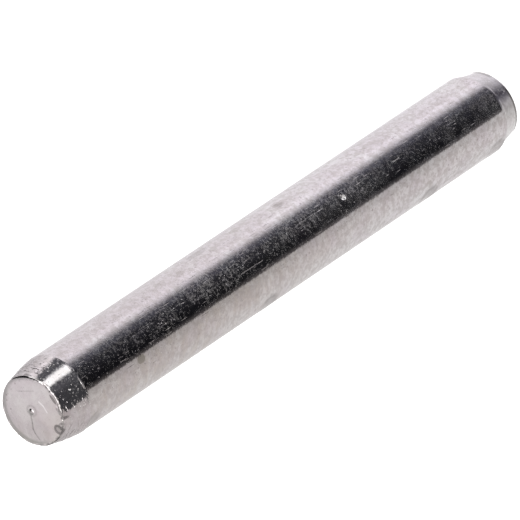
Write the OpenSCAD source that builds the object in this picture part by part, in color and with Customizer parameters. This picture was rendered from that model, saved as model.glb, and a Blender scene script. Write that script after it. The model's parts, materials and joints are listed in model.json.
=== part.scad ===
// Float pin: the short turned axle that a carburettor's float swings on.
// The axis is +Z. The pin stands on its flat foot, with the parted-off end on top.

/* [Shank] */
// Diameter of the ground shank, which the float's hinge turns on
shank_d = 2.5; // [1.6:0.1:6]
// Length from the foot's face to the middle of the parted face
pin_len = 22; // [8:0.5:60]

/* [Foot end] */
// Length of the lead-in taper above the foot
foot_taper_len = 0.8; // [0.4:0.05:1.5]
// How much that taper takes off the radius
foot_taper_drop = 0.155; // [0.05:0.005:0.25]
// Radius of the rounded edge between the foot's face and its taper
foot_edge_r = 0.1; // [0.02:0.01:0.2]

/* [Parted end] */
// Length of the lead-in taper below the parted end
parted_taper_len = 1.0; // [0.4:0.05:2]
// How much that taper takes off the radius
parted_taper_drop = 0.175; // [0.05:0.005:0.25]
// Radius of the ball that the crowned face is a cap of
crown_r = 12; // [6:1:40]
// Width of the rolled edge round the crowned face
roll_w = 0.22; // [0.12:0.02:0.3]
// Radius of the rolled edge, which runs from the crown into the rim
roll_r = 0.7; // [0.5:0.05:1.5]
// Radius of the small edge between the rolled edge and the taper
rim_edge_r = 0.04; // [0.02:0.01:0.1]

/* [Parting nub] */
// Diameter of the nub that the parting tool leaves in the middle of the face
nub_d = 0.18; // [0.1:0.01:0.3]
// Height of the nub above the crown
nub_h = 0.04; // [0.02:0.005:0.08]

/* [Dings] */
// Place of the ding on the rolled edge, as an angle round the axis from +X towards +Y
ding_angle = -150; // [-180:5:180]
// Width of the ding
ding_w = 0.26; // [0.1:0.02:0.3]
// Depth of the ding
ding_depth = 0.02; // [0.01:0.005:0.04]
// Height of the nick in the shank above the foot
nick_z = 8.3; // [2:0.1:50]
// Place of the nick as an angle round the axis from +X towards +Y
nick_angle = -85; // [-180:5:180]
// Width of the nick
nick_w = 0.14; // [0.1:0.02:0.3]
// Depth of the nick
nick_depth = 0.015; // [0.01:0.005:0.04]

/* [Hidden] */
$fn = 120;
shank_r = shank_d / 2;
// Angles in the section are measured from the radius outwards, up towards the axis
up = 90;

// The foot, from its own face: the slope of its taper, and the centre of its rounded edge
foot_slope = atan(foot_taper_drop / foot_taper_len);
foot_edge_inset = foot_edge_r * (1 - sin(foot_slope)) / cos(foot_slope);
foot_edge = [shank_r - foot_taper_drop - foot_edge_inset, foot_edge_r];

// The parted end, from the middle of its own face: the crown, and the roll that leaves it smoothly
crown = [0, -crown_r];
rim_r = shank_r - parted_taper_drop;
roll_start = acos((rim_r - roll_w) / crown_r);
roll = crown + (crown_r - roll_r) * heading(roll_start);

// Its taper hangs from the rim, where the roll would meet it in a corner
rim_z = roll[1] + sqrt(pow(roll_r, 2) - pow(rim_r - roll[0], 2));
shoulder_z = rim_z - parted_taper_len;
parted_slope = atan(parted_taper_drop / parted_taper_len);

// The small edge at the rim touches the taper and the roll from inside
across = heading(parted_slope) * ([shank_r, shoulder_z] - roll) - rim_edge_r;
along = sqrt(pow(roll_r - rim_edge_r, 2) - pow(across, 2));
rim_edge = roll + across * heading(parted_slope) + along * heading(parted_slope + up);
rim_end = parted_slope + atan2(along, across);

// The direction at this angle
function heading(angle) = [cos(angle), sin(angle)];

// The point of a circle at this angle
function on_circle(centre, r, angle) = centre + r * heading(angle);

// Radius of the ball whose cap is this wide and this high
function cap_ball_r(width, height) = (pow(width / 2, 2) + pow(height, 2)) / (2 * height);

// The sliver between an arc and its chord
module arc_cap(centre, r, first, last) {
    bulge = r * (1 - cos((last - first) / 2)) * heading((first + last) / 2);
    from = on_circle(centre, r, first);
    to = on_circle(centre, r, last);
    intersection() {
        translate(centre) circle(r = r, $fn = r > roll_r ? 6 * $fn : $fn);
        polygon([from, from + 2 * bulge, to + 2 * bulge, to]);
    }
}

// Half of the section from the foot's face up to the middle of the shank
module foot_section() {
    polygon([
        [0, 0],
        on_circle(foot_edge, foot_edge_r, -up),
        on_circle(foot_edge, foot_edge_r, -foot_slope),
        [shank_r, foot_taper_len],
        [shank_r, pin_len / 2],
        [0, pin_len / 2]
    ]);
    translate(foot_edge) circle(r = foot_edge_r);
}

// Half of the section from the middle of the shank up to the middle of the parted face
module parted_section() {
    polygon([
        [0, -pin_len / 2],
        [shank_r, -pin_len / 2],
        [shank_r, shoulder_z],
        on_circle(rim_edge, rim_edge_r, parted_slope),
        on_circle(rim_edge, rim_edge_r, rim_end),
        on_circle(roll, roll_r, roll_start),
        [0, 0]
    ]);
    translate(rim_edge) circle(r = rim_edge_r);
    arc_cap(roll, roll_r, rim_end, roll_start);
    arc_cap(crown, crown_r, roll_start, up);
    nub_section();
}

module nub_section() {
    ball_r = cap_ball_r(nub_d, nub_h);
    intersection() {
        translate([0, nub_h - ball_r]) circle(r = ball_r);
        translate([0, -nub_h]) square([nub_d, 2 * nub_h]);
    }
}

// A ball that bites a round dent of this width and depth into a surface that faces +X at the origin
module dent(width, depth) {
    ball_r = cap_ball_r(width, depth);
    translate([ball_r - depth, 0, 0]) sphere(r = ball_r);
}

// The ding sits half-way across the roll
module rim_ding() {
    tilt = (rim_end + roll_start) / 2;
    place = on_circle(roll, roll_r, tilt);
    rotate([0, 0, ding_angle])
        translate([place[0], 0, pin_len + place[1]])
            rotate([0, -tilt, 0])
                dent(ding_w, ding_depth);
}

module shank_nick() {
    rotate([0, 0, nick_angle])
        translate([shank_r, 0, nick_z])
            dent(nick_w, nick_depth);
}

module float_pin() {
    color([0.78, 0.76, 0.77])
        difference() {
            rotate_extrude() {
                foot_section();
                translate([0, pin_len]) parted_section();
            }
            rim_ding();
            shank_nick();
        }
}

float_pin();
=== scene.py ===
# %% [markdown]
# # A float pin, from its frame to its finish
# A float pin is the little axle that a carburettor's float swings on. It is one piece of steel rod:
# turned to a taper at both ends, ground along the shank, and tumbled bright in a barrel. The
# engineering model of it is a fixed frame. This lesson loads that frame, wraps a finer skin round
# it, and gives the skin the marks of its making and of its life in a parts bin.

# %% Load the frame
import json
import math

import bpy
from mathutils import Matrix, Vector


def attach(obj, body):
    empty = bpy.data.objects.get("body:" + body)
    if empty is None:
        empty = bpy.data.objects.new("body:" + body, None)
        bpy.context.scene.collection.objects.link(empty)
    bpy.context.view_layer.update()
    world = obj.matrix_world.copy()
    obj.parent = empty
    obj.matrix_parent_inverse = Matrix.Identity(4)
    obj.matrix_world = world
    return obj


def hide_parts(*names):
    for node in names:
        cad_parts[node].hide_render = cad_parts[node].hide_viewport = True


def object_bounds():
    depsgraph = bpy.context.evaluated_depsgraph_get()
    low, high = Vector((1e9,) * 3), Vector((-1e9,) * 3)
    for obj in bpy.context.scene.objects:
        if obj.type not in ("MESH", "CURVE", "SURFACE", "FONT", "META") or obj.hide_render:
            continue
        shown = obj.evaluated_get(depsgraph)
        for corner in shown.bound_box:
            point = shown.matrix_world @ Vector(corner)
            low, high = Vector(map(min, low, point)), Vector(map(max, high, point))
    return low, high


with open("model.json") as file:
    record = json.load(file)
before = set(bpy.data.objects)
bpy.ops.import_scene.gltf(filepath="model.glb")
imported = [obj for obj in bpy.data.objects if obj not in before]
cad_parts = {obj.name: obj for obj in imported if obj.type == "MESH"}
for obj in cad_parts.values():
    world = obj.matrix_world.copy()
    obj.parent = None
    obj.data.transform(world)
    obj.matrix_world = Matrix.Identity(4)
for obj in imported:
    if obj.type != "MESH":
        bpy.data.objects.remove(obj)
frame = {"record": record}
cad_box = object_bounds()
print("frame box in mm", [round(1000 * v, 3) for corner in cad_box for v in corner])

# %% [markdown]
# ## Sizes
# What the frame already says is read from it: the shank's radius and the two heights where its
# tapers start come from the mount that a hinge turns on. Only the forms of the two ends are stated
# again, in millimetres, because a pin is thought of in millimetres. Only the finished mesh is
# turned into metres.
#
# A bright rim shows the smallest change of slope, so the skin's parted end is finer than the
# frame's: its taper bows out a little, its rim is rounder and its face flatter.

# %% Sizes of the pin
MM = 0.001
shank = next(m for m in frame["record"]["mounts"] if m["name"] == "shank")
SHANK_R = shank["dims"]["r_mm"]
FOOT_SHOULDER = shank["pos_m"][2] / MM - shank["dims"]["length_mm"] / 2
PARTED_SHOULDER = shank["pos_m"][2] / MM + shank["dims"]["length_mm"] / 2
print("shank radius", SHANK_R, "shoulders at", round(FOOT_SHOULDER, 3), round(PARTED_SHOULDER, 3))

# The foot: what its taper takes off the radius, and its edge
FOOT_DROP = 0.155
FOOT_R = SHANK_R - FOOT_DROP
FOOT_EDGE_R = 0.1

# The nub, whose top is the top of the frame
NUB_R = 0.09
NUB_HEIGHT = 0.04
FACE_Z = cad_box[1][2] / MM - NUB_HEIGHT

# The parted end: its taper, crown, rolled edge and rim
PARTED_TAPER = 1.04
PARTED_DROP = 0.195
TAPER_BOW = 0.02
END_R = SHANK_R - PARTED_DROP
CROWN_R = 20
ROLL_WIDTH = 0.2
ROLL_R = 0.9
RIM_EDGE_R = 0.065

# The nick in the shank, above the foot
NICK_Z = 8.3
print("foot radius", FOOT_R, "rim radius", END_R, "face at", round(FACE_Z, 3))

# %% [markdown]
# ## The section
# A turned part is one outline spun round an axis, so the outline is drawn first. It is made of
# straight stretches and arcs. Each stretch says how its steps are shared out along it: many where
# there is a shoulder, a nick or a ring, few where the shank is plain.


# %% Stretches and arcs
def straight(start, end, *parts, bow=0.0):
    """Points from start to end, without start. Each part is the share of the way it ends at, and
    its steps. The bow is how far the middle of the way stands out from a straight line."""
    start, end = Vector(start), Vector(end)
    outward = Vector((end.y - start.y, start.x - end.x)).normalized()
    points = []
    done = 0.0
    for share, steps in parts:
        ways = [done + (share - done) * i / steps for i in range(1, steps + 1)]
        points += [tuple(start.lerp(end, way) + 4 * bow * way * (1 - way) * outward) for way in ways]
        done = share
    return points


def arc(centre, radius, first, last, steps):
    """Points of an arc, in degrees from the radius outwards, without its first point."""
    turns = [math.radians(first + (last - first) * i / steps) for i in range(1, steps + 1)]
    return [(centre[0] + radius * math.cos(t), centre[1] + radius * math.sin(t)) for t in turns]


def toward(angle):
    """The direction at this angle, in degrees from the radius outwards."""
    return Vector((math.cos(math.radians(angle)), math.sin(math.radians(angle))))


print("a bowed line:", straight((0, 0), (0, 1), (0.5, 1), bow=0.1))

# %% [markdown]
# ## Arcs that touch
# On a turned part one form runs into the next without a corner. So each arc's centre is worked out
# from the forms it touches: the foot's edge from its face and its taper, the rolled edge from the
# crown, and the rim from the rolled edge and the taper.

# %% Where the arcs lie
foot_slope = math.degrees(math.atan(FOOT_DROP / FOOT_SHOULDER))
foot_inset = FOOT_EDGE_R * (1 - math.sin(math.radians(foot_slope))) / math.cos(math.radians(foot_slope))
foot_edge = Vector((FOOT_R - foot_inset, FOOT_EDGE_R))
foot_shoulder = Vector((SHANK_R, FOOT_SHOULDER))

parted_slope = math.degrees(math.atan(PARTED_DROP / PARTED_TAPER))
rim_slope = parted_slope + math.degrees(4 * TAPER_BOW / PARTED_TAPER)
crown = Vector((0, FACE_Z - CROWN_R))
roll_start = math.degrees(math.acos((END_R - ROLL_WIDTH) / CROWN_R))
roll = crown + (CROWN_R - ROLL_R) * toward(roll_start)
shoulder = Vector((SHANK_R, PARTED_SHOULDER))
across = toward(parted_slope).dot(shoulder - roll) - RIM_EDGE_R
along = math.sqrt((ROLL_R - RIM_EDGE_R) ** 2 - across**2)
rim_edge = roll + across * toward(parted_slope) + along * toward(parted_slope + 90)
rim_end = parted_slope + math.degrees(math.atan2(along, across))
nub_ball = (NUB_R**2 + NUB_HEIGHT**2) / (2 * NUB_HEIGHT)
nub_tilt = math.degrees(math.acos(NUB_R / nub_ball))
crown_end = math.degrees(math.acos(NUB_R / CROWN_R))
foot_taper = foot_edge + FOOT_EDGE_R * toward(-foot_slope)
taper_end = rim_edge + RIM_EDGE_R * toward(rim_slope)
print("rolled edge from", round(rim_end, 1), "to", round(roll_start, 1), "degrees")

# %% [markdown]
# ## From the foot to the nub
# The outline goes up from the middle of the foot to the top of the nub. Each point also says which
# finish it carries: 0 is ground, 1 is turned and 2 is parted off or faced.

# %% Draw the section
nick_share = (NICK_Z - FOOT_SHOULDER) / (PARTED_SHOULDER - FOOT_SHOULDER)
shank_parts = ((0.003, 4), (nick_share - 0.007, 44), (nick_share + 0.007, 13), (0.997, 70), (1, 4))

GROUND, TURNED, PARTED = 0, 1, 2
outline = [(0, 0, PARTED)]
for finish, points in (
    (PARTED, straight((0, 0), (foot_edge.x, 0), (1, 5))),
    (PARTED, arc(foot_edge, FOOT_EDGE_R, -90, -foot_slope, 9)),
    (TURNED, straight(foot_taper, foot_shoulder, (0.8, 14), (1, 11))),
    (GROUND, straight(foot_shoulder, shoulder, *shank_parts)),
    (TURNED, straight(shoulder, taper_end, (0.06, 5), (1, 58), bow=TAPER_BOW)),
    (PARTED, arc(rim_edge, RIM_EDGE_R, rim_slope, rim_end, 9)),
    (PARTED, arc(roll, ROLL_R, rim_end, roll_start, 15)),
    (PARTED, arc(crown, CROWN_R, roll_start, crown_end, 44)),
    (PARTED, arc((0, FACE_Z + NUB_HEIGHT - nub_ball), nub_ball, nub_tilt, 90, 9)),
):
    outline += [(r, z, finish) for r, z in points]
outline[-1] = (0, FACE_Z + NUB_HEIGHT, PARTED)

section = bpy.data.meshes.new("section")
links = [(i, i + 1) for i in range(len(outline) - 1)]
section.from_pydata([(r * MM, 0, z * MM) for r, z, _ in outline], links, [])
section.attributes.new("finish", "FLOAT", "POINT").data.foreach_set("value", [p[2] for p in outline])
print("section:", len(outline), "points")

# %% [markdown]
# ## Helpers for node trees
# The skin's shape, the steel's finish and the light all come from node trees. A few small helpers
# keep them readable. One adds a node, five do sums or take a vector apart, one eases a value from
# one end of a range to the other, and two make noise and mix colours. The last two make a node
# group with named sockets and put it to use.


# %% Adding a node
def feed(tree, socket, value):
    """Links a socket into this input, or sets the input to a plain value."""
    if isinstance(value, bpy.types.NodeSocket):
        tree.links.new(value, socket)
    else:
        socket.default_value = value


def node(tree, kind, inputs=None, **settings):
    """Adds a node with these settings, and feeds its inputs, which are named by label or by number."""
    made = tree.nodes.new(kind)
    for name, value in settings.items():
        setattr(made, name, value)
    for name, value in (inputs or {}).items():
        feed(tree, made.inputs[name], value)
    return made


# %% Sums on numbers and vectors
def sums(tree, operation, *values, clamp=False):
    """A sum on numbers. ADD, MULTIPLY and MAXIMUM take as many of them as there are."""
    first, *others = values
    if len(others) > 1 and operation in ("ADD", "MULTIPLY", "MAXIMUM"):
        for other in others:
            first = sums(tree, operation, first, other)
        return first
    made = node(tree, "ShaderNodeMath", dict(enumerate(values)), operation=operation, use_clamp=clamp)
    return made.outputs[0]


def times(tree, *values, clamp=False):
    """These numbers multiplied."""
    return sums(tree, "MULTIPLY", *values, clamp=clamp)


def total(tree, *values):
    """These numbers added up."""
    return sums(tree, "ADD", *values)


def vectors(tree, operation, *values):
    """A sum on vectors. A dot product, a length or a distance comes out as a number."""
    made = node(tree, "ShaderNodeVectorMath", dict(enumerate(values)), operation=operation)
    number = operation in ("DOT_PRODUCT", "LENGTH", "DISTANCE")
    return made.outputs["Value" if number else "Vector"]


def apart(tree, vector):
    """The X, Y and Z of a vector."""
    return node(tree, "ShaderNodeSeparateXYZ", {0: vector}).outputs


# %% Easing, noise and mixing
def ease(tree, value, start, end, low=0.0, high=1.0):
    """Goes smoothly from low, where the value is at start, to high, where it is at end."""
    inputs = {"Value": value, "From Min": start, "From Max": end, "To Min": low, "To Max": high}
    return node(tree, "ShaderNodeMapRange", inputs, interpolation_type="SMOOTHSTEP").outputs["Result"]


def noise(tree, place, scale, detail=2.0, roughness=0.5):
    """Noise from 0 to 1, with scale as its number of lumps in one unit of place."""
    inputs = {"Vector": place, "Scale": scale, "Detail": detail, "Roughness": roughness}
    return node(tree, "ShaderNodeTexNoise", inputs, noise_dimensions="3D").outputs["Fac"]


def mix(tree, share, below, above):
    """Goes from the colour below to the colour above."""
    inputs = {"Factor": share, "A": below, "B": above}
    made = tree.nodes.new("ShaderNodeMix")
    made.data_type = "RGBA"
    for socket in made.inputs:
        if socket.enabled and socket.name in inputs:
            feed(tree, socket, inputs[socket.name])
    return next(socket for socket in made.outputs if socket.enabled)


# %% Node groups
def new_group(name, kind, inputs, outputs):
    """A node group with named sockets. An input is a name, a kind and perhaps a first value."""
    group = bpy.data.node_groups.new(name, kind)
    for label, socket_kind, *value in inputs:
        kind_name = "NodeSocket" + socket_kind
        socket = group.interface.new_socket(label, in_out="INPUT", socket_type=kind_name)
        if value:
            socket.default_value = value[0]
    for label, socket_kind in outputs:
        group.interface.new_socket(label, in_out="OUTPUT", socket_type="NodeSocket" + socket_kind)
    return group, group.nodes.new("NodeGroupInput").outputs, group.nodes.new("NodeGroupOutput").inputs


def use(tree, group, **inputs):
    """Places a node group, with its inputs named in lower case and with underscores."""
    kind = "GeometryNodeGroup" if tree.bl_idname == "GeometryNodeTree" else "ShaderNodeGroup"
    made = node(tree, kind, node_tree=group)
    for name, value in inputs.items():
        feed(tree, made.inputs[name.replace("_", " ").capitalize()], value)
    return made.outputs


print("helpers for node trees are ready")

# %% [markdown]
# ## Dents and scores
# Two kinds of mark are worth real geometry. A dent is a knock from another pin in the tumbling
# barrel: a shallow oval bowl, often with a slight lip. A score is a line, such as the crease that a
# parting tool leaves as the rod breaks away. Each gives a height over the skin, so any number of
# them can be added up, and says how much darker and duller it makes the steel in its bowl, round its
# edge or along its line. A depth below zero makes a lump, and a dullness below zero a place that is
# rubbed bright.

# %% Group for a dent
dent, given, out = new_group(
    "Dent", "GeometryNodeTree", [
        ("Place", "Vector"), ("Centre", "Vector"), ("Half size", "Vector", (1, 1, 1)),
        ("Depth", "Float", 0.01), ("Lip", "Float", 0.002),
    ],
    [("Height", "Float"), ("Bowl", "Float"), ("Edge", "Float")],
)
away = vectors(dent, "SUBTRACT", given["Place"], given["Centre"])
away = vectors(dent, "DIVIDE", away, given["Half size"])
reach = vectors(dent, "LENGTH", away)
bowl = ease(dent, reach, 0, 1, 1, 0)
lip = times(dent, ease(dent, reach, 0.7, 1), ease(dent, reach, 1, 1.4, 1, 0))
lip = times(dent, lip, given["Lip"])
feed(dent, out["Height"], sums(dent, "SUBTRACT", lip, times(dent, bowl, given["Depth"])))
feed(dent, out["Bowl"], ease(dent, reach, 0.75, 1.05, 1, 0))
ring = times(dent, ease(dent, reach, 0.5, 0.85), ease(dent, reach, 0.85, 1.2, 1, 0))
feed(dent, out["Edge"], ring)
print("group:", dent.name)

# %% Group for a score
score, given, out = new_group(
    "Score", "GeometryNodeTree", [
        ("Place", "Vector"), ("From", "Vector"), ("To", "Vector"),
        ("Width", "Float", 0.05), ("Depth", "Float", 0.004),
    ],
    [("Height", "Float"), ("Line", "Float")],
)
run = vectors(score, "SUBTRACT", given["To"], given["From"])
start = vectors(score, "SUBTRACT", given["Place"], given["From"])
covered = vectors(score, "DOT_PRODUCT", start, run)
share = sums(score, "DIVIDE", covered, vectors(score, "DOT_PRODUCT", run, run), clamp=True)
nearest = node(score, "ShaderNodeVectorMath", {0: run, "Scale": share}, operation="SCALE").outputs[0]
gap = vectors(score, "DISTANCE", start, nearest)
groove = ease(score, gap, 0, given["Width"], 1, 0)
feed(score, out["Height"], times(score, groove, given["Depth"], -1.0))
feed(score, out["Line"], groove)
print("group:", score.name)

# %% [markdown]
# ## Where the knocks are
# Places on the shank are given as a turn round the axis, in degrees from the side that faces the
# camera, and a height above the foot. Places on the parted face are given in millimetres to the
# right and away from the camera. A mark of no depth is a spot of grease, or a rub.


# %% Places on the shank and on the face
def on_shank(turn, height):
    t = math.radians(turn)
    return (SHANK_R * math.sin(t), -SHANK_R * math.cos(t), height)


def on_face(right, away_from):
    fall = CROWN_R - math.sqrt(CROWN_R**2 - right**2 - away_from**2)
    return (right, away_from, FACE_Z - fall)


print("face rim", [round(v, 3) for v in on_face(END_R, 0)])

# %% The lists of knocks and lines
SHANK_DENTS = [
    # turn, height, half size, depth, lip, dull bowl, dull edge
    (6.7, NICK_Z, (0.11, 0.11, 0.12), 0.06, 0.006, -0.6, 0.0),
    (-68, 1.15, (0.36, 0.36, 0.42), 0.01, 0.0, 0.4, 0.2),
    (-74, 4.5, (0.42, 0.42, 0.44), 0.01, 0.0, 0.5, 0.25),
    (-73, 12.3, (0.38, 0.38, 0.4), 0.008, 0.0, 0.5, 0.25),
    (-66, 20.7, (0.3, 0.3, 0.26), 0.008, 0.0, 0.4, 0.2),
    (-84, 20.88, (0.2, 0.14, 0.09), 0.0, 0.0, 0.8, 0.0),
    (51, 10.2, (0.12, 0.12, 0.17), 0.006, 0.0, 0.4, 0.3),
    (62, 13.8, (0.14, 0.14, 0.5), 0.005, 0.0, 0.3, 0.1),
]
FACE_DENTS = [
    # right, away, half size, depth, lip, dull bowl, dull edge
    (-0.83, -0.48, (0.15, 0.13, 0.2), 0.02, 0.002, 0.5, 1.4),
    (-0.83, -0.38, (0.07, 0.03, 0.1), 0.004, 0.0, 0.5, 0.0),
    (-0.73, -0.66, (0.04, 0.08, 0.1), 0.004, 0.0, 0.6, 0.0),
    (-0.96, -0.44, (0.04, 0.05, 0.1), 0.004, 0.0, 0.5, 0.0),
    (-0.05, -0.95, (0.17, 0.042, 0.2), 0.008, 0.0, 0.9, 0.3),
    (-0.36, -0.88, (0.08, 0.04, 0.1), 0.006, 0.0, 0.6, 0.2),
    (0.02, -0.03, (0.18, 0.18, 0.2), 0.0, 0.0, 0.0, 0.35),
    (-0.55, 0.2, (0.45, 0.45, 0.5), 0.0, 0.0, 0.13, 0.0),
    (-0.36, -0.4, (0.32, 0.32, 0.5), 0.0, 0.0, -0.12, 0.0),
    (0.0, 0.0, (0.08, 0.08, 0.1), 0.0, 0.0, 0.5, 0.0),
    (-0.66, -0.855, (0.06, 0.06, 0.3), 0.0, 0.0, 1.0, 0.0),
    (-0.28, -1.0, (0.07, 0.05, 0.1), 0.014, 0.0, 0.3, 0.2),
    (-0.46, -0.92, (0.05, 0.06, 0.1), 0.012, 0.0, 0.1, 0.4),
    (-0.62, -0.83, (0.05, 0.05, 0.1), 0.006, 0.0, 0.9, 0.0),
    (0.22, -1.0, (0.07, 0.05, 0.1), 0.012, 0.0, 0.1, 0.3),
    (-0.47, -0.95, (0.19, 0.15, 0.1), -0.035, 0.0, 0.0, 0.0),
    (0.42, -0.98, (0.3, 0.16, 0.1), 0.03, 0.0, 0.0, 0.0),
]
SCORES = [
    # start and end, each right and away, then width, depth, dullness
    ((-0.03, 0.08), (-0.28, 0.24), 0.035, 0.003, 0.35),
    ((-0.28, 0.24), (-0.42, 0.35), 0.04, 0.004, 0.35),
    ((-0.42, 0.35), (-0.56, 0.38), 0.04, 0.004, 0.28),
    ((-0.56, 0.38), (-0.78, 0.38), 0.035, 0.003, 0.18),
    ((0.11, -0.46), (-0.06, -0.51), 0.045, 0.002, -1.0),
    ((-0.06, -0.51), (-0.26, -0.49), 0.035, 0.002, -0.8),
    ((0.68, 0.0), (0.45, -0.5), 0.03, 0.003, 0.3),
    ((-0.27, -0.92), (-0.46, -0.86), 0.03, 0.002, -0.8),
    ((0.68, -0.83), (0.83, -0.68), 0.06, 0.0, -1.2),
]
DENTS = [(on_shank(turn, up), *rest) for turn, up, *rest in SHANK_DENTS]
DENTS += [(on_face(right, away), *rest) for right, away, *rest in FACE_DENTS]
print(len(DENTS), "dents and", len(SCORES), "lines")

# %% [markdown]
# ## The lathe
# A turned part follows a rule, so a tree of geometry nodes makes the skin as a lathe does. A flat
# grid has one row for each point of the section and one column for each step round the axis. Each
# of its points looks up its row in the section and is carried round to its column. The seam and the
# two poles are then merged. What the tool, the barrel and the years left is added along the
# surface's own direction.

# %% Tree of the turned pin
lathe, given, out = new_group(
    "Turned pin", "GeometryNodeTree", [
        ("Section", "Geometry"), ("Steps round", "Int", 320), ("Ring pitch", "Float", 0.14),
        ("Ring depth", "Float", 0.004), ("Burr height", "Float", 0.01),
        ("Shoulder fold", "Float", 0.008), ("Unevenness", "Float", 0.0008), ("Seed", "Float", 0.0),
        ("Ground", "Material"), ("Turned", "Material"), ("Parted", "Material"),
    ],
    [("Skin", "Geometry")],
)
print("lathe:", len(lathe.interface.items_tree), "named sockets")

# %% Spin the section
counted = node(lathe, "GeometryNodeAttributeDomainSize", {"Geometry": given["Section"]})
rows = counted.outputs["Point Count"]
columns = total(lathe, given["Steps round"], 1)
flat_size = {"Size X": 1.0, "Size Y": 1.0, "Vertices X": rows, "Vertices Y": columns}
grid = node(lathe, "GeometryNodeMeshGrid", flat_size)
where = node(lathe, "GeometryNodeInputPosition").outputs[0]
flat = apart(lathe, where)
last_row = sums(lathe, "SUBTRACT", rows, 1)
row = sums(lathe, "ROUND", times(lathe, total(lathe, flat["X"], 0.5), last_row))
angle = times(lathe, total(lathe, flat["Y"], 0.5), -math.tau)
finish = node(lathe, "GeometryNodeInputNamedAttribute", {"Name": "finish"}, data_type="FLOAT")
finish = finish.outputs[0]


def looked_up(value, data_type):
    """What the section holds at this point's row."""
    inputs = {"Geometry": given["Section"], "Value": value, "Index": row}
    return node(lathe, "GeometryNodeSampleIndex", inputs, data_type=data_type).outputs["Value"]


marks = {"Geometry": grid.outputs["Mesh"], "Name": "finish", "Value": looked_up(finish, "FLOAT")}
marked = node(lathe, "GeometryNodeStoreNamedAttribute", marks)
point = apart(lathe, looked_up(where, "FLOAT_VECTOR"))
carried = {
    "X": times(lathe, point["X"], sums(lathe, "COSINE", angle)),
    "Y": times(lathe, point["X"], sums(lathe, "SINE", angle)),
    "Z": point["Z"],
}
spun_place = node(lathe, "ShaderNodeCombineXYZ", carried).outputs[0]
spun = node(lathe, "GeometryNodeSetPosition", {"Geometry": marked.outputs[0], "Position": spun_place})
MERGE_WITHIN = 2e-8
merging = {"Geometry": spun.outputs[0], "Distance": MERGE_WITHIN}
closed = node(lathe, "GeometryNodeMergeByDistance", merging)
print("points merge within", MERGE_WITHIN, "m")

# %% [markdown]
# ## The marks of making
# A lathe tool leaves a fine helix on each taper, a seventh of a millimetre from ridge to ridge. The
# tumbling barrel has worn it away on the foot's taper. On the parted one it is left mostly on the
# sides, and more toward the rim. The rings are a sine of the height with the turn round the axis
# added in, which makes a true helix.

# %% Tool rings
place = vectors(lathe, "MULTIPLY", where, (1 / MM, 1 / MM, 1 / MM))
here = apart(lathe, place)
from_axis = vectors(lathe, "LENGTH", vectors(lathe, "MULTIPLY", place, (1, 1, 0)))
round_axis = sums(lathe, "ARCTAN2", here["Y"], here["X"])
seed = node(lathe, "ShaderNodeCombineXYZ", {"X": given["Seed"]}).outputs[0]
shifted = vectors(lathe, "ADD", place, seed)
is_turned = sums(lathe, "COMPARE", finish, TURNED, 0.1)

RING_WANDER = 0.4
wander = times(lathe, noise(lathe, shifted, 3.5, 3, 0.6), RING_WANDER)
turns = sums(lathe, "DIVIDE", total(lathe, here["Z"], wander), given["Ring pitch"])
ridge = sums(lathe, "SINE", total(lathe, times(lathe, turns, math.tau), round_axis))
short_lumps = vectors(lathe, "MULTIPLY", shifted, (1, 1, 3))
wear = ease(lathe, noise(lathe, short_lumps, 3.5, 3), 0.4, 0.62, 0.1, 1.3)
right_side = ease(lathe, here["X"], 0.3, 0.8, 0.2, 0.85)
left_side = ease(lathe, here["X"], -0.9, -1.05, 0, 0.6)
kept = total(lathe, right_side, left_side)
rim_z = PARTED_SHOULDER + PARTED_TAPER
towards_rim = ease(lathe, here["Z"], PARTED_SHOULDER - 0.2, rim_z, 0, 1.2)
rings = times(lathe, ridge, given["Ring depth"], wear, kept, towards_rim, is_turned)
print("rings reach up to", round(rim_z, 3))

# %% [markdown]
# ## Burr, fold and unevenness
# Where the pin was parted off, the rim stands up in places as a worn burr. Beside each shoulder the
# steel is pushed up into a broken fold, which shows only on the front. The ground shank wanders by
# a thousandth of a millimetre, which is still enough to bend the edge of a reflection.

# %% Heights of burr, fold and unevenness
long_lumps = vectors(lathe, "MULTIPLY", shifted, (1, 1, 0.3))
uneven = sums(lathe, "SUBTRACT", noise(lathe, long_lumps, 1.2, 2), 0.5)
uneven = times(lathe, uneven, given["Unevenness"])

near_rim = ease(lathe, from_axis, END_R - 0.08, END_R - 0.02)
near_face = ease(lathe, here["Z"], FACE_Z - 0.16, FACE_Z - 0.08)
at_rim = times(lathe, near_rim, near_face)
on_front = ease(lathe, here["X"], 0.85, 0.6, 0.1, 1)
burr = times(lathe, at_rim, ease(lathe, noise(lathe, shifted, 6, 4, 0.65), 0.35, 0.7))
burr = times(lathe, burr, given["Burr height"], on_front)

fold = 0.0
for crest_z, width, share, least, reach in (
    # height of the crest, width, share of the fold's height, least noise, reach to the right
    (FOOT_SHOULDER - 0.06, 0.06, 0.42, 0.1, 0.4),
    (PARTED_SHOULDER + 0.05, 0.036, 1.0, 0.45, 0.55),
):
    gap = sums(lathe, "ABSOLUTE", sums(lathe, "SUBTRACT", here["Z"], crest_z))
    crest = ease(lathe, gap, 0, width, share, 0)
    broken = ease(lathe, noise(lathe, shifted, 4, 3, 0.6), least, least + 0.12)
    within = ease(lathe, here["X"], reach + 0.1, reach - 0.1)
    fold = total(lathe, fold, times(lathe, crest, broken, within))
facing_front = ease(lathe, here["Y"], -0.6, -1)
fold = times(lathe, fold, facing_front, given["Shoulder fold"])
height = total(lathe, rings, uneven, burr, fold)
print("a fold beside each shoulder")

# %% [markdown]
# ## Painted shade at the rim, the foot and the rings
# Here the steel's colour is darkened where shade falls: a painted shade behind the burr of the rim, a
# painted contact shade on the rounded edge of the foot, with a darker line just above it on the right,
# and painted shade in the valleys of the rings on the two sides. How dark it leaves the steel is
# stored with the skin, for the finish to read.

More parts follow.
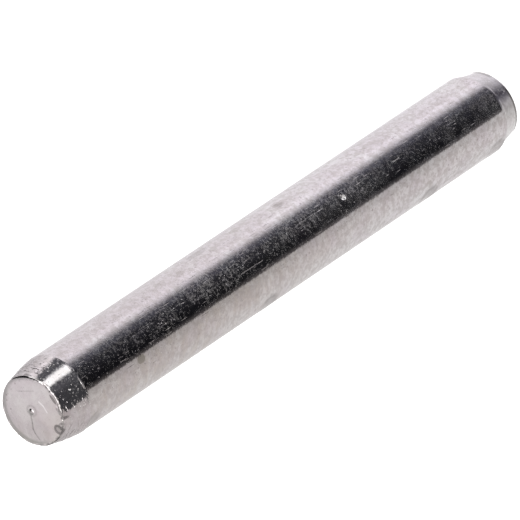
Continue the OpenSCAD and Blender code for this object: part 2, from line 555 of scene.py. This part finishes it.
# %% Painted shade at the rim, the foot and the rings
patchy = ease(lathe, noise(lathe, shifted, 7, 3, 0.6), 0.47, 0.55, 0, 0.7)
# Painted shade: the front of the rim is darkened in patches behind its burr.
painted_rim_shade = times(lathe, at_rim, on_front, patchy)

# Painted contact shade: the rounded edge of the foot, where it stands on the floor, is darkened in
# patches, but not from about 0.25 to 0.8 mm right of the axis.
painted_foot_shade = ease(lathe, here["Z"], 0.1, 0.17, 1, 0)
foot_shade_sides = sums(lathe, "MAXIMUM", ease(lathe, here["X"], 0.8, 0.95), ease(lathe, here["X"], 0.25, 0.05))
thin = ease(lathe, noise(lathe, shifted, 3, 2), 0.3, 0.5, 0.7, 1.1)
painted_foot_shade = times(lathe, painted_foot_shade, foot_shade_sides, thin)
# A darker line just above the foot's edge, on the right.
foot_line = ease(lathe, here["Z"], 0.17, 0.24, 0.65, 0)
foot_line = times(lathe, foot_line, ease(lathe, here["X"], 0.58, 0.7))

# Painted shade: the valleys of the tool rings on the two sides are darkened, in patches, more toward
# the rim.
VALLEY_SHADE = 0.7
on_sides = ease(lathe, sums(lathe, "ABSOLUTE", here["X"]), 0.7, 1)
valley_patches = times(lathe, on_sides, ease(lathe, noise(lathe, shifted, 2.5, 2), 0.4, 0.55))
valley = ease(lathe, ridge, -0.3, -1)
painted_valley_shade = times(lathe, valley, towards_rim, is_turned, valley_patches, VALLEY_SHADE)
# The sum holds the painted shade of the rim, the foot's edge and the ring valleys, and the darker line
# above the foot.
dull_and_shade = total(lathe, painted_rim_shade, sums(lathe, "MAXIMUM", painted_foot_shade, foot_line), painted_valley_shade)
print("grease added")

# %% Dents and lines
for centre, half_size, depth, lip, dull_bowl, dull_edge in DENTS:
    knock = use(lathe, dent, place=place, centre=centre, half_size=half_size, depth=depth, lip=lip)
    height = total(lathe, height, knock["Height"])
    grease = times(lathe, knock["Bowl"], dull_bowl)
    dull_and_shade = total(lathe, dull_and_shade, grease, times(lathe, knock["Edge"], dull_edge))
for start, end, width, depth, dullness in SCORES:
    ends = {"from": on_face(*start), "to": on_face(*end)}
    line = use(lathe, score, place=place, width=width, depth=depth, **ends)
    height = total(lathe, height, line["Height"])
    dull_and_shade = total(lathe, dull_and_shade, times(lathe, line["Line"], dullness))
print("added", len(DENTS), "dents and", len(SCORES), "lines")

# %% [markdown]
# ## The skin's last steps
# The skin is moved along its own direction by the sum of the heights, then smoothed and realized.
# Each stretch gets its material by the finish that its points carry.

# %% Move the skin and set its materials
outward = node(lathe, "GeometryNodeInputNormal").outputs[0]
lift = {0: outward, "Scale": times(lathe, height, MM)}
offset = node(lathe, "ShaderNodeVectorMath", lift, operation="SCALE").outputs[0]
# Stored with the skin: darkening from grease and dull marks, and painted shade at the rim, the foot's
# edge and the ring valleys.
grease_and_shade_left = {"Geometry": closed.outputs[0], "Name": "dull_and_shade", "Value": dull_and_shade}
greased_and_shaded = node(lathe, "GeometryNodeStoreNamedAttribute", grease_and_shade_left)
worn = node(lathe, "GeometryNodeSetPosition", {"Geometry": greased_and_shaded.outputs[0], "Offset": offset})
smooth = node(lathe, "GeometryNodeSetShadeSmooth", {"Geometry": worn.outputs[0], "Shade Smooth": True})
skin = node(lathe, "GeometryNodeRealizeInstances", {"Geometry": smooth.outputs[0]})
for label, least in (("Ground", -1.0), ("Turned", 0.4), ("Parted", 1.4)):
    chosen = sums(lathe, "GREATER_THAN", finish, least)
    inputs = {"Geometry": skin.outputs[0], "Selection": chosen, "Material": given[label]}
    skin = node(lathe, "GeometryNodeSetMaterial", inputs)
feed(lathe, out["Skin"], skin.outputs[0])
print("lathe tree:", len(lathe.nodes), "nodes")

# %% [markdown]
# ## Bright steel
# Bare polished steel shows almost nothing of its own: what the eye reads is the room in it. The
# finish is a metal with a slightly warm grey tint and a low roughness. Its faults come on top, each
# as a group that all the surfaces share: pits too fine for the mesh, a grain of dull specks, and
# the bloom of tints that oil and heat leave.

# %% Group for fine pits
pits, given, out = new_group(
    "Fine pits", "ShaderNodeTree", [
        ("Place", "Vector"), ("Size", "Float", 0.05), ("Cover", "Float", 0.4),
        ("Steepness", "Float", 0.5),
    ],
    [("Height", "Float"), ("Mask", "Float")],
)
cells = {"Vector": given["Place"], "Scale": sums(pits, "DIVIDE", 1.0, given["Size"]), "Randomness": 1.0}
grains = node(pits, "ShaderNodeTexVoronoi", cells, voronoi_dimensions="3D", feature="F1").outputs
chance = node(pits, "ShaderNodeSeparateColor", {0: grains["Color"]}).outputs
crowding = ease(pits, noise(pits, given["Place"], 0.9, 3), 0.35, 0.65, 0.3, 1.5)
there = sums(pits, "LESS_THAN", chance[0], times(pits, given["Cover"], crowding))
width = ease(pits, chance[1], 0, 1, 0.25, 0.5)
cup = times(pits, ease(pits, grains["Distance"], 0, width, 1, 0), there)
feed(pits, out["Mask"], cup)
deepness = ease(pits, chance[2], 0, 1, -0.15, -0.5)
deep = times(pits, given["Size"], given["Steepness"], deepness)
feed(pits, out["Height"], times(pits, cup, deep))
print("group:", pits.name)

# %% Group for a dull grain
grain, given, out = new_group(
    "Dull grain",
    "ShaderNodeTree",
    [("Place", "Vector"), ("Size", "Float", 0.06), ("Cover", "Float", 0.5)],
    [("Mask", "Float"), ("Height", "Float")],
)
fine = noise(grain, given["Place"], sums(grain, "DIVIDE", 1, given["Size"]), 2, 0.7)
patch = ease(grain, noise(grain, given["Place"], 1.3, 4, 0.6), 0.35, 0.65, -0.05, 0.05)
level = sums(grain, "SUBTRACT", 0.58, patch)
level = sums(grain, "SUBTRACT", level, times(grain, given["Cover"], 0.2))
mask = ease(grain, fine, level, total(grain, level, 0.26))
drawn = vectors(grain, "MULTIPLY", given["Place"], (1, 1, 0.07))
streak = ease(grain, noise(grain, drawn, 16, 2), 0.58, 0.75)
rubbed = ease(grain, noise(grain, given["Place"], 0.7, 2), 0.48, 0.6)
feed(grain, out["Mask"], sums(grain, "MAXIMUM", mask, times(grain, streak, rubbed, 0.35)))
feed(grain, out["Height"], times(grain, sums(grain, "SUBTRACT", fine, 0.5), given["Size"]))
print("group:", grain.name)

# %% Group for the bloom of tints
bloom, given, out = new_group(
    "Bloom", "ShaderNodeTree", [
        ("Place", "Vector"), ("Size", "Float", 1.0), ("Lean", "Float", 0.0),
        ("Warmth", "Float", 0.3), ("Age", "Float", 0.0),
        ("Cool tint", "Color", (0.86, 0.86, 0.87, 1)),
        ("Pink tint", "Color", (0.8, 0.77, 0.805, 1)),
        ("Brown tint", "Color", (0.69, 0.65, 0.61, 1)),
        ("Aged tint", "Color", (0.88, 0.865, 0.84, 1)),
    ],
    [("Color", "Color"), ("Mottle", "Float")],
)
per_lump = sums(bloom, "DIVIDE", 1.0, given["Size"])
clouds = total(bloom, noise(bloom, given["Place"], per_lump, 4, 0.6), given["Lean"])
tinted = mix(bloom, ease(bloom, clouds, 0.38, 0.62), given["Cool tint"], given["Pink tint"])
streaked = vectors(bloom, "MULTIPLY", given["Place"], (1, 1, 2.2))
streaks = ease(bloom, noise(bloom, streaked, times(bloom, per_lump, 1.3), 5, 0.7), 0.42, 0.62)
tinted = mix(bloom, times(bloom, streaks, given["Warmth"]), tinted, given["Brown tint"])
aged = vectors(bloom, "MULTIPLY", tinted, given["Aged tint"])
feed(bloom, out["Color"], mix(bloom, given["Age"], tinted, aged))
per_mottle = times(bloom, per_lump, 6.0)
feed(bloom, out["Mottle"], noise(bloom, given["Place"], per_mottle, 4, 0.72))
print("group:", bloom.name)

# %% [markdown]
# ## Scratches from handling
# Pins that roll against each other in a bin pick up hairlines along the shank. They are thinner
# than any mesh, so they are drawn in the finish. Each one is a turn round the axis and two heights
# above the foot. A stain is the same thing drawn wide: what a drop of old petrol leaves.

# %% Group for a hairline
hairline, given, out = new_group(
    "Hairline", "ShaderNodeTree", [
        ("Place", "Vector"), ("Turn", "Float", 0.0), ("From", "Float", 1.0),
        ("To", "Float", 2.0), ("Width", "Float", 0.03),
    ],
    [("Mask", "Float")],
)
at = apart(hairline, given["Place"])
facing = sums(hairline, "ARCTAN2", at["X"], times(hairline, at["Y"], -1.0))
beside = sums(hairline, "SUBTRACT", facing, times(hairline, given["Turn"], math.radians(1)))
beside = times(hairline, beside, SHANK_R)
wobble = sums(hairline, "SUBTRACT", noise(hairline, given["Place"], 3, 2), 0.5)
beside = total(hairline, beside, times(hairline, wobble, 0.05))
short = sums(hairline, "SUBTRACT", given["From"], at["Z"])
beyond = sums(hairline, "MAXIMUM", short, sums(hairline, "SUBTRACT", at["Z"], given["To"]), 0.0)
off = node(hairline, "ShaderNodeCombineXYZ", {"X": beside, "Y": beyond}).outputs[0]
gap = vectors(hairline, "LENGTH", off)
feed(hairline, out["Mask"], ease(hairline, gap, 0, given["Width"], 1, 0))
print("group:", hairline.name)

# %% The lists of hairlines and stains
HAIRLINES = [
    # turn, from, to, width, strength
    (-3.7, 12.4, 13.4, 0.02, 0.9),
    (6.9, 12.2, 13.8, 0.02, 0.35),
    (9.8, 9.25, 10.5, 0.025, 0.45),
    (8.3, 10.3, 11.0, 0.02, 0.3),
    (9.0, 5.5, 5.8, 0.03, 0.9),
    (8.5, 2.75, 3.1, 0.03, 0.6),
    (8.3, 17.3, 18.4, 0.025, 0.45),
    (10.5, 17.5, 18.0, 0.02, 0.4),
    (5.8, 17.6, 18.2, 0.02, 0.4),
    (2.5, 14.2, 14.9, 0.025, 0.5),
    (2.3, 15.2, 15.6, 0.025, 0.5),
    (-2.0, 16.9, 17.2, 0.03, 0.7),
    (-4.0, 14.8, 15.1, 0.025, 0.5),
    (-5.5, 19.1, 19.25, 0.03, 0.6),
    (-11.0, 19.0, 19.25, 0.03, 0.6),
    (3.0, 16.66, 16.68, 0.04, 0.9),
    (-3.4, 16.6, 16.62, 0.05, 1.0),
    (-1.3, 20.1, 20.14, 0.05, 0.9),
    (-0.2, 20.5, 20.52, 0.04, 0.8),
    (-0.2, 3.65, 3.7, 0.04, 0.9),
    (1.0, 7.44, 7.5, 0.07, 0.6),
    (-4.0, 7.38, 7.44, 0.07, 0.5),
]
STAINS = [
    # turn, from, to, width, strength
    (-23.0, 18.4, 18.5, 0.17, 0.8),
    (47.0, 14.95, 15.05, 0.14, 0.3),
    (52.0, 15.9, 16.0, 0.13, 0.3),
    (55.0, 10.1, 10.25, 0.18, 0.3),
    (58.0, 12.0, 12.2, 0.16, 0.3),
    (50.0, 13.3, 13.4, 0.13, 0.3),
    (50.0, 5.95, 6.0, 0.1, 0.3),
    (36.0, 7.35, 7.4, 0.09, 0.3),
    (-47.0, 4.6, 4.7, 0.12, 0.2),
    (-42.0, 12.9, 13.1, 0.1, 0.2),
]
print(len(HAIRLINES), "hairlines and", len(STAINS), "stains")

# %% [markdown]
# ## Faults over the steel
# The faults are not spread evenly, so each is weighed by where it lies. The half of the shank
# toward the parted end has been handled most, which has aged its tint. Pits crowd on the two sides
# and toward that end.


# %% Pits and drawn lines
def pitting(tree, place, at, size, stretch, cover, depth):
    """Height of the pits and of the faint lines that grinding draws along the pin."""
    sides = sums(
        tree,
        "MAXIMUM",
        ease(tree, at["X"], 0.3, 0.15, 0.1, 1),
        ease(tree, at["X"], 0.62, 0.75, 0, 1.5),
        ease(tree, at["X"], -0.35, -0.5, 0, 2),
    )
    worked = times(tree, ease(tree, at["Z"], 2, 20, 0.15, 1), sides)
    worked = times(tree, worked, ease(tree, at["Z"], 21.85, 21.4, 0.3, 1), cover)
    stretched = vectors(tree, "MULTIPLY", place, (1, 1, stretch))
    pit = use(tree, pits, place=stretched, size=size, cover=worked, steepness=depth)
    drawn = vectors(tree, "MULTIPLY", place, (1, 1, 0.05))
    line = use(tree, pits, place=drawn, size=0.025, cover=0.1, steepness=0.35)
    return total(tree, pit["Height"], line["Height"])


def lines_over(tree, place, lines):
    """The mask and the strength of each hairline or stain in a list."""
    for turn, low, high, width, strength in lines:
        ends = {"turn": turn, "from": low, "to": high, "width": width}
        yield use(tree, hairline, place=place, **ends)["Mask"], strength


print("pits and lines are ready")


# %% [markdown]
# ## A film of oil
# Dried oil makes bright metal look grey, because it scatters light that the metal would have
# mirrored. Here it is a small share of the surface that is not metal. It clings to the specks, most
# along the middle of the shank, and toward the foot it lies between them as a thin haze, with a
# stretch that is wiped nearly clean.

# %% Film and tints
def oil_film(tree, place, at, handled, speck):
    """How much of the film lies here, from 0 where the steel is clean to about 2 on a speck."""
    haze = ease(tree, noise(tree, place, 3.5, 3), 0.35, 0.65, 0.03, 0.3)
    wiped = ease(tree, at["Z"], 3.2, 4, 1, 0.25)
    wiped = sums(tree, "MAXIMUM", wiped, ease(tree, at["Z"], 5.8, 6.6))
    haze = times(tree, haze, ease(tree, handled, 0, 1, 1, 0), wiped)
    rubbed = times(tree, ease(tree, at["Z"], 5.8, 8), ease(tree, at["Z"], 16.2, 14.6))
    rubbed = times(tree, rubbed, ease(tree, at["X"], -0.2, 0.2, 0.6, 1))
    near_foot = ease(tree, at["Z"], 2.2, 1.2, 0, 0.08)
    haze = total(tree, haze, times(tree, rubbed, 0.05), near_foot)
    on_speck = ease(tree, handled, 0, 1, 0.65, 1)
    on_speck = total(tree, on_speck, times(tree, rubbed, 0.6))
    on_speck = times(tree, on_speck, ease(tree, at["Z"], 18.2, 19.4, 1, 0.7))
    return total(tree, haze, times(tree, speck, on_speck))


def tints(tree, place, at, handled, warmth):
    """The bloom of tints, aged where it is handled, with painted light on the two sides: pinker toward
    the lit right, browner and more aged on the shaded left.
    """
    # Painted shade: the side away from the light gets the brown tint and more age, and the lean makes
    # the lit side pinker.
    shaded = ease(tree, at["X"], 0.3, -0.6)
    shaded = times(tree, shaded, ease(tree, handled, 0, 1, 0.15, 1))
    lean = ease(tree, at["X"], -1, 1, -0.07, 0.07)
    warmth = times(tree, shaded, warmth)
    age = times(tree, handled, ease(tree, at["X"], 0.8, -0.6, 0.6, 1))
    return use(tree, bloom, place=place, size=1.0, lean=lean, warmth=warmth, age=age)


print("film and tints are ready")


# %% [markdown]
# ## Three finishes of one steel
# The ground shank, the turned tapers and the parted face come from the same bar, so they share
# their tints and the colours of their dirt. They differ in roughness, in how their pits are drawn
# out, and in how much lies on them.

# %% Colours of dirt and wear, and of painted shade
SPECK_COLOUR = (0.5, 0.49, 0.52, 1)
SPOT_COLOUR = (0.44, 0.4, 0.41, 1)
MOTTLE_COLOUR = (0.55, 0.52, 0.51, 1)
STAIN_COLOUR = (0.36, 0.34, 0.3, 1)
# The colour of grease, and also of the painted shade at the rim, the foot's edge and the ring valleys
GREASE_AND_SHADE_COLOUR = (0.3, 0.285, 0.28, 1)
RUBBED_COLOUR = (1, 1, 1, 1)
# Between these heights the pin gets more and more handled
HANDLED = (5.0, 16.0)
print("grease is", GREASE_AND_SHADE_COLOUR, "and a speck", SPECK_COLOUR)


# %% A steel with its faults
def steel(
    name, *, roughness, pit_cover, grain_cover, mottle, warmth, pit_size=0.04, pit_stretch=1.0,
    pit_depth=0.6, spot_cover=0.0, film=0.0, hairlines=(), stains=(),
):
    """A bright steel with its own share of faults."""
    material = bpy.data.materials.new(name)
    material.use_nodes = True
    tree = material.node_tree
    tree.nodes.clear()
    local = node(tree, "ShaderNodeTexCoord").outputs["Object"]
    place = vectors(tree, "MULTIPLY", local, (1 / MM, 1 / MM, 1 / MM))
    at = apart(tree, place)
    handled = ease(tree, at["Z"], *HANDLED)
    pitted = pitting(tree, place, at, pit_size, pit_stretch, pit_cover, pit_depth)
    crowded = times(tree, ease(tree, at["X"], -0.3, 0.35, 0.38, 1), grain_cover)
    crowded = times(tree, crowded, ease(tree, handled, 0, 1, 0.9, 1))
    speck = use(tree, grain, place=place, size=0.08, cover=crowded)
    spot = use(tree, pits, place=place, size=0.13, cover=spot_cover, steepness=0.03)
    tint = tints(tree, place, at, handled, warmth)
    dull_and_shade = node(tree, "ShaderNodeAttribute", attribute_name="dull_and_shade").outputs["Fac"]
    scratch = 0.0
    for mask, strength in lines_over(tree, place, hairlines):
        scratch = sums(tree, "MAXIMUM", scratch, times(tree, mask, strength))
    stained = 0.0
    for mask, strength in lines_over(tree, place, stains):
        stained = sums(tree, "MAXIMUM", stained, ease(tree, mask, 0.1, 0.35, 0, strength))

    clouded = ease(tree, tint["Mottle"], 0.4, 0.6, 0, mottle)
    clouded = times(tree, clouded, ease(tree, handled, 0, 1, 0.95, 1))
    colour = mix(tree, times(tree, speck["Mask"], 0.25), tint["Color"], SPECK_COLOUR)
    colour = mix(tree, times(tree, spot["Mask"], 0.9), colour, SPOT_COLOUR)
    colour = mix(tree, clouded, colour, MOTTLE_COLOUR)
    colour = mix(tree, stained, colour, STAIN_COLOUR)
    # The stored value darkens toward this colour: grease spots and dull marks, and painted shade at the
    # rim, on the foot's edge and in the ring valleys. Below zero it whitens rubbed places.
    colour = mix(tree, dull_and_shade, colour, GREASE_AND_SHADE_COLOUR)
    colour = mix(tree, times(tree, dull_and_shade, -1.0), colour, RUBBED_COLOUR)
    rough = total(
        tree,
        roughness,
        times(tree, tint["Mottle"], 0.04),
        times(tree, speck["Mask"], 0.05),
        times(tree, dull_and_shade, 0.2, clamp=True),
        times(tree, scratch, 0.45),
    )
    relief = total(tree, pitted, times(tree, speck["Height"], 0.02))
    relief = sums(tree, "SUBTRACT", relief, times(tree, scratch, 0.004))
    bump = node(tree, "ShaderNodeBump", {"Height": relief, "Strength": 1.0, "Distance": MM}).outputs[0]
    bare = 1.0
    if film:
        filmed = oil_film(tree, place, at, handled, speck["Mask"])
        bare = sums(tree, "SUBTRACT", 1.0, times(tree, filmed, film))
    inputs = {"Base Color": colour, "Metallic": bare, "Roughness": rough, "Normal": bump}
    surface = node(tree, "ShaderNodeBsdfPrincipled", inputs)
    node(tree, "ShaderNodeOutputMaterial", {"Surface": surface.outputs[0]})
    return material


print("handled from", HANDLED[0], "mm up")

# %% The three finishes
ground_steel = steel(
    "ground_steel",
    roughness=0.05, pit_cover=0.05, grain_cover=0.85, spot_cover=0.3, film=0.09,
    mottle=0.68, warmth=0.7, hairlines=HAIRLINES, stains=STAINS,
)
turned_steel = steel(
    "turned_steel",
    roughness=0.05, pit_size=0.11, pit_stretch=3.2, pit_cover=0.45, pit_depth=0.25,
    grain_cover=0.6, film=0.1, mottle=0.5, warmth=0.3,
)
parted_steel = steel(
    "parted_steel",
    roughness=0.06, pit_cover=0.03, grain_cover=0.3, spot_cover=0.03, mottle=0.15, warmth=0.4,
)
print("materials:", ground_steel.name, turned_steel.name, parted_steel.name)

# %% [markdown]
# ## Run the lathe
# The section becomes an object, the tree runs on it as a modifier, and the result is turned into a
# plain mesh. The frame's own pin is then hidden behind it, and the new piece rides where that one
# rode.

# %% Make the pin
blank = bpy.data.objects.new("blank", section)
bpy.context.scene.collection.objects.link(blank)
turning = blank.modifiers.new("turning", "NODES")
turning.node_group = lathe
sockets = {i.name: i.identifier for i in lathe.interface.items_tree if i.in_out == "INPUT"}
for label, value in {
    "Steps round": 312, "Ring pitch": 0.14, "Ring depth": 0.0042, "Burr height": 0.013,
    "Shoulder fold": 0.0145, "Unevenness": 0.001, "Seed": 3.0,
    "Ground": ground_steel, "Turned": turned_steel, "Parted": parted_steel,
}.items():
    turning[sockets[label]] = value

evaluated = blank.evaluated_get(bpy.context.evaluated_depsgraph_get())
mesh = bpy.data.meshes.new_from_object(evaluated)
mesh.name = "float_pin_skin"
bpy.data.objects.remove(blank)
pin = bpy.data.objects.new("float_pin_skin", mesh)
bpy.context.scene.collection.objects.link(pin)
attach(pin, "root")
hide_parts("float_pin")
print("made", pin.name)

# %% [markdown]
# ## Is it closed, and the right way out?
# The small pyramids from the origin to each triangle add up to the volume. It comes out positive,
# and close to the frame's own, only when the skin is closed and its faces point outwards.

# %% Measure the skin
mesh.calc_loop_triangles()
volume = 0.0
for triangle in mesh.loop_triangles:
    a, b, c = (mesh.vertices[i].co / MM for i in triangle.vertices)
    volume += a.dot(b.cross(c)) / 6
print("skin:", len(mesh.loop_triangles), "triangles, volume", round(volume, 2), "cubic mm")

# %% [markdown]
# ## The floor
# A wide pale sheet that the pin stands on. It is hidden from reflections, so that the steel shows
# the light tent alone.

# %% Floor
FLOOR_HALF = 3.0
floor_mesh = bpy.data.meshes.new("floor")
corners = [(-1, -1), (1, -1), (1, 1), (-1, 1)]
floor_mesh.from_pydata([(x * FLOOR_HALF, y * FLOOR_HALF, 0) for x, y in corners], [], [(0, 1, 2, 3)])
floor = bpy.data.objects.new("floor", floor_mesh)
bpy.context.scene.collection.objects.link(floor)
floor.visible_glossy = False
pale = bpy.data.materials.new("pale_sheet")
pale.use_nodes = True
pale_surface = pale.node_tree.nodes["Principled BSDF"]
pale_looks = {"Base Color": (0.9, 0.9, 0.9, 1), "Roughness": 0.9}
pale_looks.update({"Emission Color": (1, 1, 1, 1), "Emission Strength": 0.6})
for label, value in pale_looks.items():
    pale_surface.inputs[label].default_value = value
floor_mesh.materials.append(pale)
print("floor:", 2 * FLOOR_HALF, "m wide")

# %% [markdown]
# ## The light tent
# A polished pin is lit by what surrounds it. The world is a tent of pale cloth with an opening at
# the front, low down, which makes the dark band along the shank. A narrow bright strip in it gives
# the parted taper its white flash, and a broad soft light stands above the camera. Turn is measured
# round the axis from the camera's side, and rise from the horizon, both in degrees.

# %% Directions in the tent
world = bpy.data.worlds.new("light_tent")
bpy.context.scene.world = world
world.use_nodes = True
sky = world.node_tree
sky.nodes.clear()
direction = node(sky, "ShaderNodeTexCoord").outputs["Generated"]
toward_light = apart(sky, direction)
turn = sums(sky, "ARCTAN2", toward_light["X"], times(sky, toward_light["Y"], -1.0))
turn = times(sky, turn, 180 / math.pi)
rise = times(sky, sums(sky, "ARCSINE", toward_light["Z"]), 180 / math.pi)
aside = sums(sky, "ABSOLUTE", turn)


def between(value, start, end, soft_start, soft_end):
    """A mask that is 1 from start to end and fades to 0 over the soft widths at its two ends."""
    before = sums(sky, "SUBTRACT", start, soft_start)
    opens = ease(sky, value, before, total(sky, start, soft_start))
    before = sums(sky, "SUBTRACT", end, soft_end)
    shuts = ease(sky, value, before, total(sky, end, soft_end), 1, 0)
    return times(sky, opens, shuts)


print("world:", world.name)

# %% [markdown]
# ## The cloth
# The cloth is a ramp of colours all the way round, and it hangs in two heights: the ground shank
# mirrors what lies 45 degrees down, and the parted taper what lies higher. Behind the pin it is
# brighter.

# %% Cloth in two heights
def ramp_of(stops):
    """A ramp of colours all the way round, from a list of turns and colours."""
    ramp = node(sky, "ShaderNodeValToRGB", {"Fac": total(sky, sums(sky, "DIVIDE", turn, 360.0), 0.5)})
    elements = ramp.color_ramp.elements
    while len(elements) < len(stops):
        elements.new(0.5)
    for element, (at, colour) in zip(elements, stops):
        element.position = at / 360 + 0.5
        element.color = (*colour, 1)
    return ramp.outputs[0]


cloth = [
    (-180, (0.76, 0.74, 0.74)),
    (-110, (0.745, 0.715, 0.715)),
    (-84, (0.705, 0.66, 0.66)),
    (-60, (0.63, 0.59, 0.585)),
    (-46, (0.53, 0.5, 0.495)),
    (-37, (0.5, 0.475, 0.47)),
    (-34, (0.53, 0.505, 0.5)),
    (62, (0.93, 0.89, 0.925)),
    (72, (1.05, 0.995, 1.04)),
    (86, (0.91, 0.86, 0.885)),
    (118, (0.94, 0.9, 0.925)),
    (135, (0.9, 0.87, 0.89)),
    (180, (0.83, 0.81, 0.82)),
]
high_cloth = [
    (-143, (0.6, 0.57, 0.58)),
    (-114, (0.66, 0.62, 0.635)),
    (-86, (0.68, 0.63, 0.645)),
    (-57, (0.6, 0.555, 0.565)),
    (-40, (0.48, 0.445, 0.445)),
    (60, (0.6, 0.58, 0.59)),
    (74, (1.0, 0.95, 0.965)),
    (90, (1.15, 1.09, 1.11)),
    (100, (0.86, 0.82, 0.835)),
    (114, (0.765, 0.725, 0.735)),
    (129, (0.64, 0.61, 0.62)),
    (143, (0.58, 0.56, 0.57)),
]
light = mix(sky, ease(sky, rise, -42, -37), ramp_of(cloth), ramp_of(high_cloth))
behind = times(sky, ease(sky, aside, 145, 158), ease(sky, rise, -45, -49))
behind = sums(sky, "MAXIMUM", behind, ease(sky, aside, 160, 168))
light = mix(sky, behind, light, (1.6, 1.6, 1.59, 1))
print("cloth:", len(cloth), "and", len(high_cloth), "stops")

# %% [markdown]
# ## The opening
# The opening is cut into the cloth. Its left edge is sharp and its right edge soft, and both lean.
# It is not quite black inside: a little light grows toward the right and upwards, and some glows in
# from the left edge.

# %% Opening
LEFT_TURN = -35.0
LEFT_LEAN = -0.6
above_45_down = total(sky, rise, 45.0)
left_edge = total(sky, LEFT_TURN, times(sky, above_45_down, LEFT_LEAN))
right_edge = ease(sky, rise, -45, -36, 51.2, 84)
right_edge = total(sky, right_edge, ease(sky, rise, -36, -22, 0, -10))
opening = between(turn, left_edge, right_edge, 1, ease(sky, rise, -44, -34, 14, 6.2))
opening = times(sky, opening, between(rise, -95, -8, 1, 6))

from_edge = sums(sky, "SUBTRACT", turn, left_edge)
glow = ease(sky, from_edge, 1, 14, 0.068, 0)
glow = times(sky, glow, ease(sky, rise, -43, -38, 1, 0.2))
for_taper = between(turn, 5, 28, 8, 6)
inside = total(
    sky,
    ease(sky, turn, -14, 22, 0.009, 0.025),
    ease(sky, turn, 20, 40, 0, 0.055),
    ease(sky, rise, -42, -30, 0, 0.046),
    times(sky, for_taper, ease(sky, rise, -37, -31, 0, 0.028)),
    times(sky, ease(sky, turn, 48, 58), ease(sky, rise, -37, -31, 0, -0.025)),
)
cool = times(sky, inside, ease(sky, rise, -43, -36, 1.25, 1.12))
dark = {
    "Red": total(sky, inside, times(sky, glow, 1.1)),
    "Green": total(sky, inside, glow),
    "Blue": total(sky, cool, glow),
}
light = mix(sky, opening, light, node(sky, "ShaderNodeCombineColor", dark).outputs[0])
print("opening from", LEFT_TURN, "degrees, leaning", LEFT_LEAN)

# %% [markdown]
# ## Low down
# The foot's taper leans the other way, so it mirrors what lies almost under the pin. The cloth
# there has a dark fold in front and is bright behind.

# %% Cloth low down
low_cloth = [
    (-170, (1.1, 1.09, 1.08)),
    (-147, (0.88, 0.87, 0.86)),
    (-106, (0.72, 0.7, 0.68)),
    (-57, (0.48, 0.46, 0.455)),
    (-30, (0.385, 0.365, 0.375)),
    (-15, (0.25, 0.238, 0.26)),
    (0, (0.115, 0.111, 0.13)),
    (15, (0.05, 0.047, 0.062)),
    (30, (0.105, 0.102, 0.12)),
    (57, (0.45, 0.435, 0.46)),
    (82, (0.75, 0.73, 0.755)),
    (110, (0.92, 0.895, 0.92)),
    (135, (0.89, 0.87, 0.89)),
    (150, (0.88, 0.87, 0.88)),
    (170, (1.4, 1.39, 1.39)),
]
light = mix(sky, ease(sky, rise, -51, -57), light, ramp_of(low_cloth))
print("low cloth:", len(low_cloth), "stops")

# %% [markdown]
# ## Lamps and gaps
# Lamps and the gaps between the cloths follow as a list, each one over those before it: the upper
# cloth, the white strip, the broad light above the camera, and the dark gaps that shade the rim.
# Nobody sees the tent itself: a ray straight from the camera finds plain white, and only the pin
# mirrors the cloth.

# %% Lamps and gaps in the tent
PATCHES = [
    # from turn, to turn, soft, from rise, to rise, soft, colour
    (-400, 400, 1, 0, 400, 6, (0.5, 0.49, 0.48)),
    (-400, 400, 1, 37.5, 400, 6, (0.81, 0.762, 0.772)),
    (28.5, 50, 6, -39, 4, 3, (1.5, 1.5, 1.5)),
    (126, 161, 5, 34, 60, 4, (0.52, 0.5, 0.5)),
    (-62, 62, 6, 26, 62, 5, (3.2, 3.16, 3.16)),
    (74, 136, 4, -18, 60, 4, (0.015, 0.015, 0.016)),
    (120, 150, 3, 40, 56, 3, (0.01, 0.01, 0.011)),
    (60, 90, 4, -10, 27, 4, (1.4, 1.37, 1.33)),
    (-140, -112, 6, -20, 14, 5, (0.06, 0.06, 0.065)),
]
for left, right, soft, low, high, soft_rise, colour in PATCHES:
    wide = between(turn, left, right, soft, soft)
    tall = between(rise, low, high, soft_rise, soft_rise)
    light = mix(sky, times(sky, wide, tall), light, (*colour, 1))
under_back = times(sky, ease(sky, aside, 158, 164), ease(sky, rise, -49, -52))
light = mix(sky, under_back, light, (0.03, 0.03, 0.035, 1))
print(len(PATCHES), "lamps and gaps")

# %% Close the tent
seen = node(sky, "ShaderNodeLightPath").outputs["Is Camera Ray"]
light = mix(sky, seen, light, (1.0, 1.0, 1.0, 1))
background = node(sky, "ShaderNodeBackground", {"Color": light, "Strength": 1.0})
node(sky, "ShaderNodeOutputWorld", {"Surface": background.outputs[0]})
print("world:", len(sky.nodes), "nodes")

# %% [markdown]
# ## The camera
# A long lens from well back suits something this small, because it shows both ends at nearly the
# same size. It looks down on the pin at about 45 degrees, and it is rolled so that the standing pin
# lies across the frame with its parted end low on the left.

# %% Camera
AIM = Vector((-0.033, 0, 11.232)) * MM
CAMERA_RISE = 45.07
CAMERA_AWAY = 351.4 * MM
CAMERA_ROLL = -123.85
LENS = 858.8
back = Vector((0, -math.cos(math.radians(CAMERA_RISE)), math.sin(math.radians(CAMERA_RISE))))
camera = bpy.data.objects.new("camera", bpy.data.cameras.new("camera"))
bpy.context.scene.collection.objects.link(camera)
level = (-back).to_track_quat("-Z", "Y").to_matrix().to_4x4()
rolled = level @ Matrix.Rotation(math.radians(CAMERA_ROLL), 4, "Z")
camera.matrix_world = Matrix.Translation(AIM + back * CAMERA_AWAY) @ rolled
camera.data.lens = LENS
camera.data.clip_start = 10 * MM
camera.data.clip_end = 20.0
bpy.context.scene.camera = camera
bpy.context.scene.view_settings.view_transform = "Standard"
print("camera", [round(v / MM, 2) for v in camera.location], "mm")
